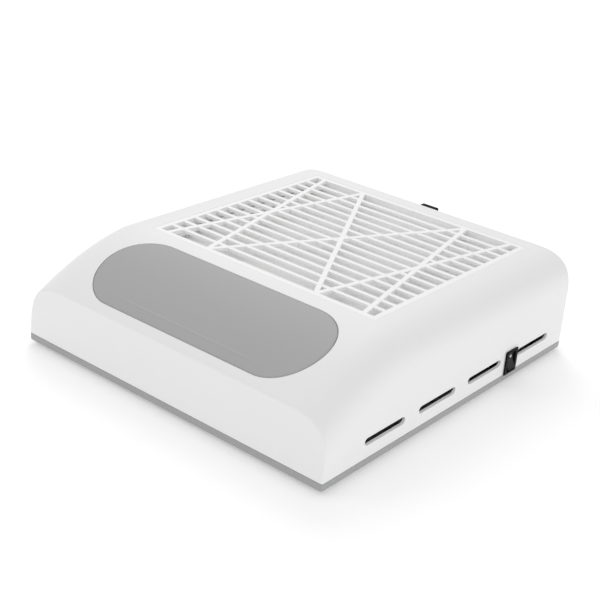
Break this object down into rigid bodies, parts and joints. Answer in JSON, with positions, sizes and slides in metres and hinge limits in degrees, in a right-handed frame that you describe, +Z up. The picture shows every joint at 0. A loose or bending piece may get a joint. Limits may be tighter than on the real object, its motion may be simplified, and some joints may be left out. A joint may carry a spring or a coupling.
{
  "type": "nail dust collector",
  "caption": "Low desktop dust extractor with a slatted grille on top, a soft palm rest on its sloped front, side exhaust slots, a rocker switch and a pull-out pleated filter.",
  "frame": {"origin": "centre of the overall box, on the surface that the feet stand on", "axes": "+X to the right seen from the user, -Y towards the user and the palm rest, +Z up"},
  "size_m": [0.2623, 0.2866, 0.0746],
  "materials": {
    "shell_white": "glossy injection-moulded ABS",
    "base_grey": "fine satin ABS",
    "pad_grey": "soft satin silicone",
    "inner_white": "matt polypropylene",
    "filter_paper": "pleated non-woven filter sheet",
    "tab_black": "matt rubber",
    "switch_black": "satin nylon",
    "foot_rubber": "matt rubber",
    "steel": "zinc-plated steel",
    "core_steel": "varnished laminations and magnet",
    "copper_winding": "enamelled copper",
    "circuit_board": "solder mask",
    "capacitor_sleeve": "shrink sleeve",
    "heat_sink_aluminium": "extruded",
    "connector_white": "nylon",
    "cable_sheath": "PVC sheath"
  },
  "bodies": {
    "housing": {"top_shell": "shell_white", "grille_panel": "shell_white", "base_pan": "base_grey", "palm_rest_pad": "pad_grey", "filter_bay": "inner_white", "finger_guard": "inner_white", "switch_body": "switch_black", "power_socket": "switch_black", "foot_left_front": "foot_rubber", "foot_left_rear": "foot_rubber", "foot_right_front": "foot_rubber", "foot_right_rear": "foot_rubber", "motor_grommet_1": "foot_rubber", "motor_grommet_2": "foot_rubber", "motor_grommet_3": "foot_rubber", "bearing_upper": "steel", "bearing_lower": "steel", "motor_bracket": "steel", "motor_housing": "steel", "motor_end_cap": "steel", "switch_terminal_upper": "steel", "switch_terminal_lower": "steel", "socket_pin_left": "steel", "socket_pin_right": "steel", "case_screw_left_front": "steel", "case_screw_left_rear": "steel", "case_screw_right_front": "steel", "case_screw_right_rear": "steel", "bay_screw_left_front": "steel", "bay_screw_left_rear": "steel", "bay_screw_right_front": "steel", "bay_screw_right_rear": "steel", "motor_screw_1": "steel", "motor_screw_2": "steel", "motor_screw_3": "steel", "board_screw_1": "steel", "board_screw_2": "steel", "transformer": "core_steel", "motor_stator": "copper_winding", "driver_board": "circuit_board", "capacitor": "capacitor_sleeve", "heat_sink": "heat_sink_aluminium", "board_connector": "connector_white", "lead_socket_to_switch": "cable_sheath", "lead_switch_to_board": "cable_sheath", "lead_board_to_motor": "cable_sheath"},
    "fan": {"impeller": "inner_white", "impeller_nut": "steel", "motor_rotor": "core_steel", "motor_shaft": "steel"},
    "filter": {"filter_drawer": "inner_white", "filter_media": "filter_paper", "filter_retainer": "inner_white", "filter_pull_tab": "tab_black"},
    "rocker": {"switch_rocker": "switch_black"}
  },
  "joints": [
    {"name": "fan_spin", "type": "hinge", "parent": "housing", "child": "fan", "pos_m": [0, 0.03035, 0.03], "axis": [0, 0, 1], "continuous": true},
    {"name": "filter_slide", "type": "slide", "parent": "housing", "child": "filter", "axis": [0, 1, 0], "range_m": [0, 0.195]},
    {"name": "rocker_tilt", "type": "hinge", "parent": "housing", "child": "rocker", "pos_m": [0.1263, 0.0613, 0.0168], "axis": [0, 1, 0], "range_deg": [0, 20]}
  ]
}
